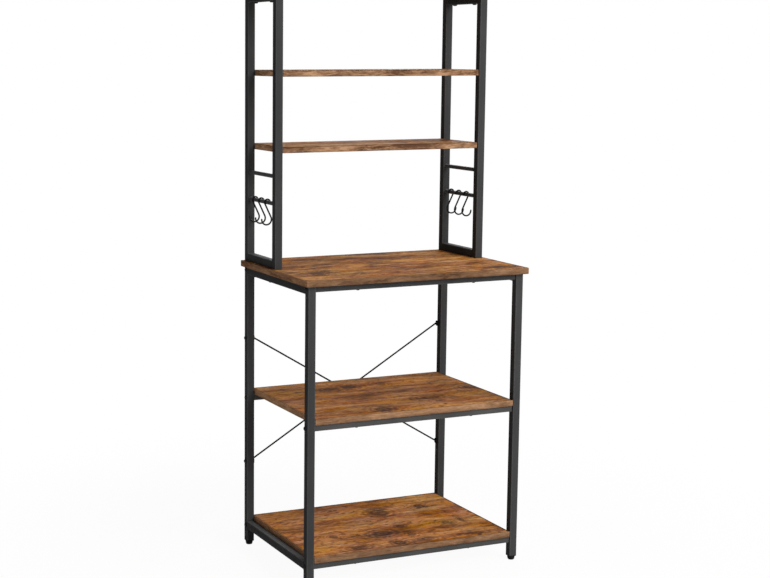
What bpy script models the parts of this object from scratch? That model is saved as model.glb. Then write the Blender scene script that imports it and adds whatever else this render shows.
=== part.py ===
# Kitchen rack: a steel frame with a worktop and two shelves, and a narrow hutch above the worktop.
# Metres, Z up. The origin is on the floor under the middle of the outline, and the front faces -Y.

import math

import bmesh
import bpy
from mathutils import Vector

# Driving dimensions of the whole rack
WORKTOP_WIDTH = 0.600
WORKTOP_DEPTH = 0.400
WORKTOP_HEIGHT = 0.742
MIDDLE_SHELF_HEIGHT = 0.411
BOTTOM_SHELF_HEIGHT = 0.075
HUTCH_DEPTH = 0.191

# The hutch's bays, each from one board's top face to the next
WORKTOP_BAY = 0.297
LOWER_SHELF_BAY = 0.183
UPPER_SHELF_BAY = 0.200

# Boards
BOARD_THICKNESS = 0.015
BOARD_CORNER = 0.003
BOARD_EASE = 0.0012
SIDE_OVERHANG = 0.009
FRONT_OVERHANG = 0.012
REAR_OVERHANG = 0.005
BOARD_END_GAP = 0.0005
HUTCH_SHELF_SETBACK = 0.002

# Square steel tubes
POST_SIZE = 0.020
POST_CORNER = 0.0025
POST_WALL = 0.0012
RAIL_SIZE = 0.015
RAIL_CORNER = 0.002
RAIL_WALL = 0.0012
RAIL_SETBACK = 0.005
RAIL_END_PLATE = 0.004
BOTTOM_BAR_RISE = 0.003

# Round rods that carry the S-hooks
ROD_RADIUS = 0.005
UPPER_ROD_DROP = 0.072
ROD_SPACING = 0.067

# Cross brace behind the shelves
BRACE_RADIUS = 0.0021
BRACE_TOP_HEIGHT = 0.543
BRACE_LOW_HEIGHT = 0.2205
BRACE_PLATE_THICKNESS = 0.002
BRACE_PLATE_HEIGHT = 0.014
BRACE_PLATE_CORNER = 0.003
BRACE_PLATE_EDGE = 0.0065
BRACE_BOLT_REARWARD = 0.0015
BRACE_WELD = 0.0006

# S-hooks
WIRE_RADIUS = 0.002
HOOK_RUNNING_GAP = 0.0004
HOOK_HEIGHT = 0.067
HOOK_BOWL_RADIUS = 0.013
HOOK_TIP_DROP = 0.003
HOOK_BOWL_END = math.radians(188)
HOOK_SPACING = 0.038
HOOK_FIRST_INSET = 0.045

# Levelling feet and the inserts that they screw into
FOOT_HEIGHT = 0.0095
FOOT_RADIUS = 0.0095
FOOT_SOLE_RADIUS = 0.0082
FOOT_EDGE = 0.0020
STUD_RADIUS = 0.004
STUD_LENGTH = 0.028
INSERT_FLANGE = 0.0015
INSERT_DEPTH = 0.018
INSERT_BORE_GAP = 0.0004

# Bolts
BOLT_RADIUS = 0.003
BOLT_HEAD_RADIUS = 0.0055
BOLT_HEAD_HEIGHT = 0.0038
BOLT_TIP = 0.0012
BOLT_GAP = 0.0003
BRACE_BOLT_RADIUS = 0.0025

# Fits and facets
WELD_GAP = 0.0003
CORNER_STEPS = 3
ROUND_STEPS = 16
SMALL_STEPS = 8
SMOOTH_ANGLE = math.radians(38)

# Places worked out from the driving dimensions
FRAME_SIDE = WORKTOP_WIDTH / 2 - SIDE_OVERHANG
FRAME_FRONT = -WORKTOP_DEPTH / 2 + FRONT_OVERHANG
FRAME_REAR = WORKTOP_DEPTH / 2 - REAR_OVERHANG
POST_X = FRAME_SIDE - POST_SIZE / 2
POST_INNER_X = FRAME_SIDE - POST_SIZE
POST_FRONT_Y = FRAME_FRONT + POST_SIZE / 2
POST_REAR_Y = FRAME_REAR - POST_SIZE / 2
RAIL_FRONT_Y = FRAME_FRONT + RAIL_SETBACK + RAIL_SIZE / 2
RAIL_REAR_Y = FRAME_REAR - RAIL_SETBACK - RAIL_SIZE / 2
RAIL_REAR_FACE = RAIL_REAR_Y + RAIL_SIZE / 2
HUTCH_FRONT = FRAME_REAR - HUTCH_DEPTH
HUTCH_POST_FRONT_Y = HUTCH_FRONT + POST_SIZE / 2
FRAME_TOP = WORKTOP_HEIGHT - BOARD_THICKNESS - WELD_GAP
LOWER_HUTCH_SHELF_HEIGHT = WORKTOP_HEIGHT + WORKTOP_BAY
UPPER_HUTCH_SHELF_HEIGHT = LOWER_HUTCH_SHELF_HEIGHT + LOWER_SHELF_BAY
TOP_SHELF_HEIGHT = UPPER_HUTCH_SHELF_HEIGHT + UPPER_SHELF_BAY
HUTCH_BOTTOM = WORKTOP_HEIGHT + WELD_GAP
HUTCH_TOP = TOP_SHELF_HEIGHT - BOARD_THICKNESS - WELD_GAP
POST_BOTTOM = FOOT_HEIGHT + INSERT_FLANGE + 2 * WELD_GAP
BOTTOM_BAR_TOP = BOTTOM_SHELF_HEIGHT - BOARD_THICKNESS + BOTTOM_BAR_RISE

SIDES = {"left": -1, "right": 1}
LEVELS = {
    "top": FRAME_TOP,
    "middle": MIDDLE_SHELF_HEIGHT - BOARD_THICKNESS - WELD_GAP,
    "bottom": BOTTOM_SHELF_HEIGHT - BOARD_THICKNESS - WELD_GAP,
}
RAIL_ROWS = {"front": RAIL_FRONT_Y, "rear": RAIL_REAR_Y}
HUTCH_SHELVES = {"lower": LOWER_HUTCH_SHELF_HEIGHT, "upper": UPPER_HUTCH_SHELF_HEIGHT}
UPPER_ROD_HEIGHT = LOWER_HUTCH_SHELF_HEIGHT - UPPER_ROD_DROP
LOWER_ROD_HEIGHT = UPPER_ROD_HEIGHT - ROD_SPACING
BRACE_BOLT_Y = POST_REAR_Y + BRACE_BOLT_REARWARD


# Scene and materials


def clear_scene():
    for old in list(bpy.data.objects):
        bpy.data.objects.remove(old, do_unlink=True)


def make_material(name, colour, roughness, metallic):
    material = bpy.data.materials.new(name)
    material.use_nodes = True
    shader = material.node_tree.nodes["Principled BSDF"]
    shader.inputs["Base Color"].default_value = (*colour, 1.0)
    shader.inputs["Roughness"].default_value = roughness
    shader.inputs["Metallic"].default_value = metallic
    material.diffuse_color = (*colour, 1.0)
    return material


def place(name, data, material, location=(0, 0, 0), rotation=(0, 0, 0)):
    obj = bpy.data.objects.new(name, data)
    obj.data.materials.append(material)
    obj.location = location
    obj.rotation_euler = rotation
    bpy.context.scene.collection.objects.link(obj)
    return obj


def mesh_of(name, bm):
    mesh = bpy.data.meshes.new(name)
    bm.to_mesh(mesh)
    bm.free()
    mesh.shade_smooth()
    mesh.set_sharp_from_angle(angle=SMOOTH_ANGLE)
    return mesh


# Outlines and lofts


def rounded_square(width, depth, corner, z):
    """Anticlockwise outline with an arc of CORNER_STEPS at each corner, at height z."""
    points = []
    for quarter in range(4):
        x_sign, y_sign = ((1, 1), (-1, 1), (-1, -1), (1, -1))[quarter]
        centre = Vector((x_sign * (width / 2 - corner), y_sign * (depth / 2 - corner), z))
        for step in range(CORNER_STEPS + 1):
            angle = math.pi / 2 * (quarter + step / CORNER_STEPS)
            points.append(centre + Vector((math.cos(angle), math.sin(angle), 0)) * corner)
    return points


def ring_like_square(radius, z):
    """Circle with as many points as a rounded square, and one quarter of them to each corner."""
    count = 4 * (CORNER_STEPS + 1)
    turns = [2 * math.pi * (index + 0.5) / count for index in range(count)]
    return [Vector((radius * math.cos(turn), radius * math.sin(turn), z)) for turn in turns]


def loft(bm, rings, closed=False):
    """Joins each ring to the next. A ring of one point makes a fan, and closed joins the last to the first."""
    made = [[bm.verts.new(point) for point in ring] for ring in rings]
    pairs = list(zip(made, made[1:]))
    if closed:
        pairs.append((made[-1], made[0]))
    for low, high in pairs:
        count = max(len(low), len(high))
        for index in range(count):
            after = (index + 1) % count
            corners = [low[index % len(low)], low[after % len(low)]]
            corners += [high[after % len(high)], high[index % len(high)]]
            bm.faces.new(list(dict.fromkeys(corners)))
    return made


def cap(bm, made):
    bm.faces.new(list(reversed(made[0])))
    bm.faces.new(made[-1])


def turned(bm, profile, start, direction, steps, closed=False):
    """Revolves (radius, distance) points about the line from start along direction."""
    turn = Vector((0, 0, 1)).rotation_difference(Vector(direction))
    rings = []
    for radius, distance in profile:
        if radius == 0:
            ring = [Vector((0, 0, distance))]
        else:
            angles = [2 * math.pi * (index + 0.5) / steps for index in range(steps)]
            ring = [Vector((radius * math.cos(a), radius * math.sin(a), distance)) for a in angles]
        rings.append([turn @ point + Vector(start) for point in ring])
    loft(bm, rings, closed)


# Parts made from tube


def tube_bm(size, corner, wall, length):
    """Open square tube from z = 0 to its length."""
    inner = size - 2 * wall
    inner_corner = max(corner - wall, corner / 4)
    bm = bmesh.new()
    rings = [
        rounded_square(inner, inner, inner_corner, 0),
        rounded_square(size, size, corner, 0),
        rounded_square(size, size, corner, length),
        rounded_square(inner, inner, inner_corner, length),
    ]
    loft(bm, rings, closed=True)
    return bm


def rail_bm(length):
    """Square tube from z = 0 to its length, with a plate welded in each end."""
    bm = bmesh.new()
    outer = [rounded_square(RAIL_SIZE, RAIL_SIZE, RAIL_CORNER, z) for z in (0, length)]
    cap(bm, loft(bm, outer))
    inner_size = RAIL_SIZE - 2 * RAIL_WALL
    inner_corner = max(RAIL_CORNER - RAIL_WALL, RAIL_CORNER / 4)
    ends = (length - RAIL_END_PLATE, RAIL_END_PLATE)
    inner = [rounded_square(inner_size, inner_size, inner_corner, z) for z in ends]
    cap(bm, loft(bm, inner))
    return bm


ALONG_X = (0, math.pi / 2, 0)
ALONG_Y = (-math.pi / 2, 0, 0)


def post(name, x, y, bottom, top, material):
    bm = tube_bm(POST_SIZE, POST_CORNER, POST_WALL, top - bottom)
    return place(name, mesh_of(name, bm), material, (x, y, bottom))


def side_bar(name, x, front, rear, top, material):
    """Bar from the front post to the rear post, with its upper face at top."""
    length = rear - front - 2 * POST_SIZE - 2 * WELD_GAP
    bm = tube_bm(POST_SIZE, POST_CORNER, POST_WALL, length)
    start = (x, front + POST_SIZE + WELD_GAP, top - POST_SIZE / 2)
    return place(name, mesh_of(name, bm), material, start, ALONG_Y)


def rail(name, y, top, material):
    length = 2 * (POST_INNER_X - WELD_GAP)
    start = (-length / 2, y, top - RAIL_SIZE / 2)
    return place(name, mesh_of(name, rail_bm(length)), material, start, ALONG_X)


# Boards


def board(name, width, front, rear, top, material):
    """Board with rounded corners and eased edges, its upper face at top."""
    bm = bmesh.new()
    rings = []
    steps = ((-BOARD_EASE, 0), (0, BOARD_EASE), (0, BOARD_THICKNESS - BOARD_EASE), (-BOARD_EASE, BOARD_THICKNESS))
    for grow, z in steps:
        size = (width + 2 * grow, rear - front + 2 * grow)
        rings.append(rounded_square(*size, BOARD_CORNER + grow, z))
    cap(bm, loft(bm, rings))
    location = (0, (front + rear) / 2, top - BOARD_THICKNESS)
    return place(name, mesh_of(name, bm), material, location)


# Holes


def drill(target, holes, steps=SMALL_STEPS):
    """Cuts round holes, each given by its start, direction, depth and radius in world places."""
    bm = bmesh.new()
    for start, direction, depth, radius in holes:
        turned(bm, ((0, 0), (radius, 0), (radius, depth), (0, depth)), start, direction, steps)
    mesh = bpy.data.meshes.new(target.name + "_holes")
    bm.to_mesh(mesh)
    bm.free()
    cutter = bpy.data.objects.new(target.name + "_holes", mesh)
    cutter.hide_render = True
    cutter.display_type = "WIRE"
    bpy.context.scene.collection.objects.link(cutter)
    modifier = target.modifiers.new("holes", "BOOLEAN")
    modifier.operation = "DIFFERENCE"
    modifier.object = cutter


# Bolts


def bolt(name, seat, direction, length, material):
    """Bolt with a domed head on its seat and a shank of the given length beyond it."""
    under = -BOLT_GAP
    profile = (
        (0, under - BOLT_HEAD_HEIGHT),
        (BOLT_HEAD_RADIUS * 0.6, under - BOLT_HEAD_HEIGHT),
        (BOLT_HEAD_RADIUS, under - BOLT_HEAD_HEIGHT * 0.4),
        (BOLT_HEAD_RADIUS, under),
        (BOLT_RADIUS, under),
        (BOLT_RADIUS, length - BOLT_TIP),
        (BOLT_RADIUS * 0.6, length),
        (0, length),
    )
    bm = bmesh.new()
    turned(bm, profile, (0, 0, 0), (0, 0, 1), SMALL_STEPS)
    turn = Vector((0, 0, 1)).rotation_difference(Vector(direction)).to_euler()
    return place(name, mesh_of(name, bm), material, seat, turn)


# S-hooks


def hook_path():
    """Centre line of an S-hook about its rod, for the left side: tip, loop, shank and bowl."""
    loop_radius = ROD_RADIUS + HOOK_RUNNING_GAP + WIRE_RADIUS
    drop = HOOK_HEIGHT - 2 * WIRE_RADIUS - loop_radius - HOOK_BOWL_RADIUS
    lean = math.asin((loop_radius + HOOK_BOWL_RADIUS) / drop)
    loop_steps = 10
    bowl_steps = 11
    points = [Vector((loop_radius, 0, -HOOK_TIP_DROP))]
    for step in range(loop_steps + 1):
        angle = (math.pi + lean) * step / loop_steps
        points.append(Vector((math.cos(angle), 0, math.sin(angle))) * loop_radius)
    for step in range(bowl_steps + 1):
        angle = lean - (lean + HOOK_BOWL_END) * step / bowl_steps
        around = Vector((math.cos(angle), 0, math.sin(angle))) * HOOK_BOWL_RADIUS
        points.append(around - Vector((0, 0, drop)))
    return points


def hanging_path(points):
    """Turns the centre line about the rod until its centre of mass is straight below."""
    lengths = [(b - a).length for a, b in zip(points, points[1:])]
    moments = [(a + b) / 2 * length for a, b, length in zip(points, points[1:], lengths)]
    centre = sum(moments, Vector()) / sum(lengths)
    turn = -math.atan2(centre.x, -centre.z)
    cosine = math.cos(turn)
    sine = math.sin(turn)
    return [Vector((p.x * cosine - p.z * sine, 0, p.x * sine + p.z * cosine)) for p in points]


def hook(name, side, y, material):
    """S-hook on the lower rod. Its origin is on the rod's axis, about which it swings."""
    curve = bpy.data.curves.new(name, "CURVE")
    curve.dimensions = "3D"
    curve.bevel_depth = WIRE_RADIUS
    curve.bevel_resolution = 2
    curve.use_fill_caps = True
    points = hanging_path(hook_path())
    spline = curve.splines.new("POLY")
    spline.points.add(len(points) - 1)
    for target, point in zip(spline.points, points):
        target.co = (-side * point.x, 0, point.z, 1)
    return place(name, curve, material, (side * POST_X, y, LOWER_ROD_HEIGHT))


# Cross brace


def brace(name, left_height, right_height, y, material):
    """Round rod from the left rear post to the right one, with a plate for a bolt at each end."""
    face = POST_INNER_X - WELD_GAP
    weld_x = face - BRACE_PLATE_THICKNESS + BRACE_WELD
    start = Vector((-weld_x, y, left_height))
    end = Vector((weld_x, y, right_height))
    length = (end - start).length
    bm = bmesh.new()
    profile = ((0, 0), (BRACE_RADIUS, 0), (BRACE_RADIUS, length), (0, length))
    turned(bm, profile, start, end - start, SMALL_STEPS)
    rod = place(name, mesh_of(name, bm), material)
    plate_front = BRACE_BOLT_Y - BRACE_PLATE_EDGE
    plate_rear = y + BRACE_RADIUS
    holes = []
    for side_name, side, height in (("left", -1, left_height), ("right", 1, right_height)):
        size = (BRACE_PLATE_HEIGHT, plate_rear - plate_front, BRACE_PLATE_CORNER)
        bm = bmesh.new()
        cap(bm, loft(bm, [rounded_square(*size, z) for z in (0, BRACE_PLATE_THICKNESS)]))
        x = -face if side < 0 else face - BRACE_PLATE_THICKNESS
        where = (x, (plate_front + plate_rear) / 2, height)
        plate = place(f"{name}_plate_{side_name}", mesh_of(name, bm), material, where, ALONG_X)
        plate.hide_render = True
        plate.display_type = "WIRE"
        joined = rod.modifiers.new("plate_" + side_name, "BOOLEAN")
        joined.operation = "UNION"
        joined.object = plate
        start = (side * POST_INNER_X, BRACE_BOLT_Y, height)
        holes.append((start, (-side, 0, 0), 2 * BRACE_PLATE_THICKNESS, BRACE_BOLT_RADIUS + BOLT_GAP))
    drill(rod, holes)
    return rod


# Feet


def insert(name, x, y, material):
    """Plastic insert in the end of a post, with a flange under the tube and a bore for the stud."""
    body = POST_SIZE - 2 * POST_WALL - 2 * WELD_GAP
    body_corner = max(POST_CORNER - POST_WALL, POST_CORNER / 4)
    bore = STUD_RADIUS + INSERT_BORE_GAP
    top = INSERT_FLANGE + INSERT_DEPTH
    rings = [
        ring_like_square(bore, 0),
        rounded_square(POST_SIZE, POST_SIZE, POST_CORNER, 0),
        rounded_square(POST_SIZE, POST_SIZE, POST_CORNER, INSERT_FLANGE),
        rounded_square(body, body, body_corner, INSERT_FLANGE),
        rounded_square(body, body, body_corner, top),
        ring_like_square(bore, top),
    ]
    bm = bmesh.new()
    loft(bm, rings, closed=True)
    return place(name, mesh_of(name, bm), material, (x, y, FOOT_HEIGHT + WELD_GAP))


def foot(name, x, y, material):
    """Levelling foot: a round base with a threaded stud."""
    top = FOOT_HEIGHT + STUD_LENGTH
    profile = (
        (0, 0),
        (FOOT_SOLE_RADIUS - FOOT_EDGE, 0),
        (FOOT_SOLE_RADIUS - FOOT_EDGE * 0.3, FOOT_EDGE * 0.3),
        (FOOT_SOLE_RADIUS, FOOT_EDGE),
        (FOOT_RADIUS, FOOT_HEIGHT - FOOT_EDGE * 0.4),
        (FOOT_RADIUS - FOOT_EDGE * 0.4, FOOT_HEIGHT),
        (STUD_RADIUS, FOOT_HEIGHT),
        (STUD_RADIUS, top - STUD_RADIUS * 0.3),
        (STUD_RADIUS * 0.7, top),
        (0, top),
    )
    bm = bmesh.new()
    turned(bm, profile, (0, 0, 0), (0, 0, 1), ROUND_STEPS)
    return place(name, mesh_of(name, bm), material, (x, y, 0))


# Places of the bolts, shared by the holes and the bolts themselves


def rail_bolt_places(side):
    """Name, seat on the post's outer face and direction of the bolt into each rail end on one side."""
    found = []
    for level, top in LEVELS.items():
        for row, y in RAIL_ROWS.items():
            seat = Vector((side * FRAME_SIDE, y, top - RAIL_SIZE / 2))
            found.append((f"{level}_{row}", seat, Vector((-side, 0, 0))))
    return found


def post_holes(side, row):
    """Holes through one lower post for its rail bolts, and for the brace bolts in a rear post."""
    through = POST_SIZE + 2 * WELD_GAP
    found = []
    for label, seat, direction in rail_bolt_places(side):
        if label.endswith(row):
            found.append((seat - direction * WELD_GAP, direction, through, BOLT_RADIUS + BOLT_GAP))
    if row == "rear":
        for height in (BRACE_TOP_HEIGHT, BRACE_LOW_HEIGHT):
            start = (side * (FRAME_SIDE + WELD_GAP), BRACE_BOLT_Y, height)
            found.append((start, (-side, 0, 0), through, BRACE_BOLT_RADIUS + BOLT_GAP))
    return found


# The rack


def build_frame(steel):
    for side_name, side in SIDES.items():
        x = side * POST_X
        for row, y in (("front", POST_FRONT_Y), ("rear", POST_REAR_Y)):
            made = post(f"lower_post_{row}_{side_name}", x, y, POST_BOTTOM, FRAME_TOP, steel)
            drill(made, post_holes(side, row))
        side_bar(f"lower_top_bar_{side_name}", x, FRAME_FRONT, FRAME_REAR, FRAME_TOP, steel)
        side_bar(f"lower_bottom_bar_{side_name}", x, FRAME_FRONT, FRAME_REAR, BOTTOM_BAR_TOP, steel)
    for level, top in LEVELS.items():
        for row, y in RAIL_ROWS.items():
            made = rail(f"{level}_rail_{row}", y, top, steel)
            holes = []
            for side in SIDES.values():
                start = (side * POST_INNER_X, y, top - RAIL_SIZE / 2)
                holes.append((start, (-side, 0, 0), 2 * RAIL_END_PLATE, BOLT_RADIUS + BOLT_GAP))
            drill(made, holes)


def build_hutch(steel):
    for side_name, side in SIDES.items():
        x = side * POST_X
        for row, y in (("front", HUTCH_POST_FRONT_Y), ("rear", POST_REAR_Y)):
            post(f"hutch_post_{row}_{side_name}", x, y, HUTCH_BOTTOM, HUTCH_TOP, steel)
        low_top = HUTCH_BOTTOM + POST_SIZE
        side_bar(f"hutch_bottom_bar_{side_name}", x, HUTCH_FRONT, FRAME_REAR, low_top, steel)
        side_bar(f"hutch_top_bar_{side_name}", x, HUTCH_FRONT, FRAME_REAR, HUTCH_TOP, steel)
        front = HUTCH_FRONT + POST_SIZE + WELD_GAP
        length = FRAME_REAR - POST_SIZE - WELD_GAP - front
        profile = ((0, 0), (ROD_RADIUS, 0), (ROD_RADIUS, length), (0, length))
        for level, z in (("lower", LOWER_ROD_HEIGHT), ("upper", UPPER_ROD_HEIGHT)):
            bm = bmesh.new()
            turned(bm, profile, (0, 0, 0), (0, 0, 1), ROUND_STEPS)
            name = f"hook_rod_{level}_{side_name}"
            place(name, mesh_of(name, bm), steel, (x, front, z), ALONG_Y)


def build_boards(wood):
    board("worktop", WORKTOP_WIDTH, -WORKTOP_DEPTH / 2, WORKTOP_DEPTH / 2, WORKTOP_HEIGHT, wood)
    width = 2 * (POST_INNER_X - BOARD_END_GAP)
    board("middle_shelf", width, FRAME_FRONT, RAIL_REAR_FACE, MIDDLE_SHELF_HEIGHT, wood)
    board("bottom_shelf", width, FRAME_FRONT, RAIL_REAR_FACE, BOTTOM_SHELF_HEIGHT, wood)
    front = HUTCH_FRONT + HUTCH_SHELF_SETBACK
    rear = FRAME_REAR - HUTCH_SHELF_SETBACK
    for level, height in HUTCH_SHELVES.items():
        board(f"hutch_shelf_{level}", width, front, rear, height, wood)
    front = HUTCH_FRONT - FRONT_OVERHANG
    board("top_shelf", WORKTOP_WIDTH, front, WORKTOP_DEPTH / 2, TOP_SHELF_HEIGHT, wood)


def build_bolts(bolt_steel):
    length = POST_SIZE + WELD_GAP + RAIL_END_PLATE + BOLT_TIP
    for side_name, side in SIDES.items():
        for label, seat, direction in rail_bolt_places(side):
            bolt(f"rail_bolt_{label}_{side_name}", seat, direction, length, bolt_steel)


def build_brace(steel):
    near = RAIL_REAR_FACE + WELD_GAP + BRACE_RADIUS
    far = near + 2 * BRACE_RADIUS + WELD_GAP
    brace("brace_rod_falling", BRACE_TOP_HEIGHT, BRACE_LOW_HEIGHT, near, steel)
    brace("brace_rod_rising", BRACE_LOW_HEIGHT, BRACE_TOP_HEIGHT, far, steel)


def build_feet(plastic):
    for side_name, side in SIDES.items():
        for row, y in (("front", POST_FRONT_Y), ("rear", POST_REAR_Y)):
            insert(f"post_insert_{row}_{side_name}", side * POST_X, y, plastic)
            foot(f"levelling_foot_{row}_{side_name}", side * POST_X, y, plastic)


def build_hooks(steel):
    for side_name, side in SIDES.items():
        for index in range(3):
            y = FRAME_REAR - HOOK_FIRST_INSET - index * HOOK_SPACING
            hook(f"s_hook_{side_name}_{index + 1}", side, y, steel)


def main():
    clear_scene()
    steel = make_material("black powder coat", (0.035, 0.035, 0.037), 0.5, 0.0)
    wood = make_material("rustic brown board", (0.27, 0.13, 0.055), 0.6, 0.0)
    plastic = make_material("black plastic", (0.012, 0.012, 0.013), 0.45, 0.0)
    bolt_steel = make_material("black oxide bolts", (0.02, 0.02, 0.021), 0.4, 0.8)
    wire = make_material("black hook wire", (0.02, 0.02, 0.021), 0.4, 0.2)
    build_frame(steel)
    build_hutch(steel)
    build_boards(wood)
    build_brace(steel)
    build_bolts(bolt_steel)
    build_feet(plastic)
    build_hooks(wire)


main()
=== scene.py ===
import math

import bmesh
import bpy
import numpy as np
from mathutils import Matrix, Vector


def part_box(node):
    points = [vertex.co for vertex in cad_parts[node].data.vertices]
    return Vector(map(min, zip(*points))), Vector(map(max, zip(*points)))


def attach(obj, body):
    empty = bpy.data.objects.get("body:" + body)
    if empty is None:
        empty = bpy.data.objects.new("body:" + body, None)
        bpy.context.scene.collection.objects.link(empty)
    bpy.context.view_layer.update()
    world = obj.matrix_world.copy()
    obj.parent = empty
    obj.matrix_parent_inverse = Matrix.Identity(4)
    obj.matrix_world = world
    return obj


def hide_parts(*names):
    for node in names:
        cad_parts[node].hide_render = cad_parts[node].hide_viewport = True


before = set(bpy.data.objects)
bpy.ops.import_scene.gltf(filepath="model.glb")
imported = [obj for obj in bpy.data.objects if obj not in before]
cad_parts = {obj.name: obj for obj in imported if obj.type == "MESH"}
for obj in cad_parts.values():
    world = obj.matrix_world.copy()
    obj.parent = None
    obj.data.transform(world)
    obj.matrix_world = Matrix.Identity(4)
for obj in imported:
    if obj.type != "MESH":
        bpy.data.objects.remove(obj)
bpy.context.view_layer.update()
print("frame loaded:", len(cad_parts), "solids")

# the rack's own measures, in metres, as its solids have them
rack = {
    "worktopTop": 0.742,
    "middleTop": 0.411,
    "bottomTop": 0.075,
    "hutchTops": {"lower": 1.039, "upper": 1.222},
    "boardThickness": 0.015,
    "tube": 0.020,
    "railTube": 0.015,
    "postX": 0.281,  # middle of the posts, then their faces
    "innerX": 0.271,
    "outerX": 0.291,
    "frontPostY": -0.178,
    "rearPostY": 0.185,
    "hutchFrontPostY": 0.014,
    "frameFront": -0.188,
    "frameRear": 0.195,
    "railFrontY": -0.1755,
    "railRearY": 0.1825,
    "bottomBarTop": 0.063,
    "postBottom": 0.0116,
    "hutchTop": 1.407,
    "screwX": 0.157,  # screws through the rails into the boards
    "hutchScrewY": (0.051, 0.148),  # bolts and screws that hold the hutch and its top shelf
    "braceBoltY": 0.1865,
    "braceBoltZ": (0.543, 0.2205),
    "footHeight": 0.0095,
}
sides = {"left": -1, "right": 1}
outward = {"left": "-x", "right": "+x"}
postRows = (("front", rack["frontPostY"]), ("rear", rack["rearPostY"]))
hutchPostRows = (("front", rack["hutchFrontPostY"]), ("rear", rack["rearPostY"]))
railRows = (("front", rack["railFrontY"]), ("rear", rack["railRearY"]))


# small helpers for shader trees

def newMaterial(name, colour, roughness, specular):
    material = bpy.data.materials.new(name)
    material.use_nodes = True
    shader = material.node_tree.nodes["Principled BSDF"]
    shader.inputs["Base Color"].default_value = (*colour, 1.0)
    shader.inputs["Roughness"].default_value = roughness
    shader.inputs["Specular IOR Level"].default_value = specular
    material.diffuse_color = (*colour, 1.0)
    return material, shader


def addNode(tree, kind, inputs=None, **settings):
    node = tree.nodes.new(kind)
    for key, value in settings.items():
        setattr(node, key, value)
    for key, value in (inputs or {}).items():
        if isinstance(value, bpy.types.NodeSocket):
            tree.links.new(value, node.inputs[key])
        else:
            node.inputs[key].default_value = value
    return node


def mathNode(tree, operation, first, second=0.0, third=0.0):
    return addNode(tree, "ShaderNodeMath", {0: first, 1: second, 2: third}, operation=operation).outputs[0]


def vectorNode(tree, operation, first, second=(0.0, 0.0, 0.0)):
    return addNode(tree, "ShaderNodeVectorMath", {0: first, 1: second}, operation=operation).outputs


def mapNode(tree, value, start, end, low=0.0, high=1.0, **settings):
    # low up to the start, high from the end on
    inputs = {0: value, 1: start, 2: end, 3: low, 4: high}
    return addNode(tree, "ShaderNodeMapRange", inputs, **settings).outputs[0]


def rampNode(tree, factor, stops):
    ramp = addNode(tree, "ShaderNodeValToRGB", {0: factor})
    elements = ramp.color_ramp.elements
    while len(elements) < len(stops):
        elements.new(0.5)
    for element, (place, colour) in zip(elements, stops):
        element.position = place
        element.color = (*colour, 1.0)
    return ramp.outputs[0]


def noiseNode(tree, vector, waves, detail, roughness=0.55):
    # waves per metre along each axis
    scaled = vectorNode(tree, "MULTIPLY", vector, waves)[0]
    settings = {"Vector": scaled, "Scale": 1.0, "Detail": detail, "Roughness": roughness}
    return addNode(tree, "ShaderNodeTexNoise", settings).outputs[0]


def mixColour(tree, factor, first, second, blend="MIX"):
    inputs = {0: factor, 6: first, 7: second}
    return addNode(tree, "ShaderNodeMix", inputs, data_type="RGBA", blend_type=blend).outputs[2]


def shadedColour(tree, colour, levels):
    # the colour's red, green and blue times three levels
    factors = addNode(tree, "ShaderNodeCombineXYZ", dict(enumerate(levels))).outputs[0]
    return mixColour(tree, 1.0, colour, factors, "MULTIPLY")


def objectPlace(tree):
    return addNode(tree, "ShaderNodeTexCoord").outputs["Object"]


def splitAxes(tree, vector):
    return addNode(tree, "ShaderNodeSeparateXYZ", {0: vector}).outputs


def faceDirection(tree):
    return splitAxes(tree, addNode(tree, "ShaderNodeNewGeometry").outputs["True Normal"])


def addBump(tree, shader, height, strength, depth):
    bump = addNode(tree, "ShaderNodeBump", {"Height": height, "Strength": strength, "Distance": depth})
    tree.links.new(bump.outputs[0], shader.inputs["Normal"])


# powder-coated steel, bolts, wire and plastic

steelLook = {
    "colour": (0.044, 0.044, 0.0445),
    "roughness": 0.5,
    "specular": 0.004,
    "peel": 900.0,
    "peelDepth": 0.00006,
    # painted highlight on the tubes' rounded corners, and painted light on faces turned up
    "cornerHighlightGain": 0.75,
    "topLightGain": 1.1,
}
# painted light: the middle and bottom rails take a lighter copy of the coat for their better lit fronts, while the top
# rail keeps the plain coat under the worktop
railLitCoatLook = dict(steelLook, colour=(0.060, 0.059, 0.058))
# painted light: the hook rods take a lighter copy of the coat, with more painted light on their upper sides
rodLitCoatLook = dict(steelLook, colour=(0.085, 0.085, 0.086), topLightGain=1.6)
braceCoatLook = dict(steelLook, colour=(0.010, 0.010, 0.010), topLightGain=0.0)
boltLook = {"colour": (0.020, 0.020, 0.021), "roughness": 0.35, "specular": 0.03, "peel": 700.0, "peelDepth": 0.00005}
wireLook = dict(boltLook, colour=(0.012, 0.012, 0.012))
plasticLook = dict(boltLook, colour=(0.012, 0.012, 0.013), roughness=0.5)
coatGrain = {
    "driftWaves": (9.0, 9.0, 5.0),
    "detail": 2.0,
    "driftWindow": (0.3, 0.7),
    "toneSpread": 0.14,
    "bump": 0.6,
    "roughSpread": 0.12,
    "topLightFrom": 0.5,
}


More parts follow.
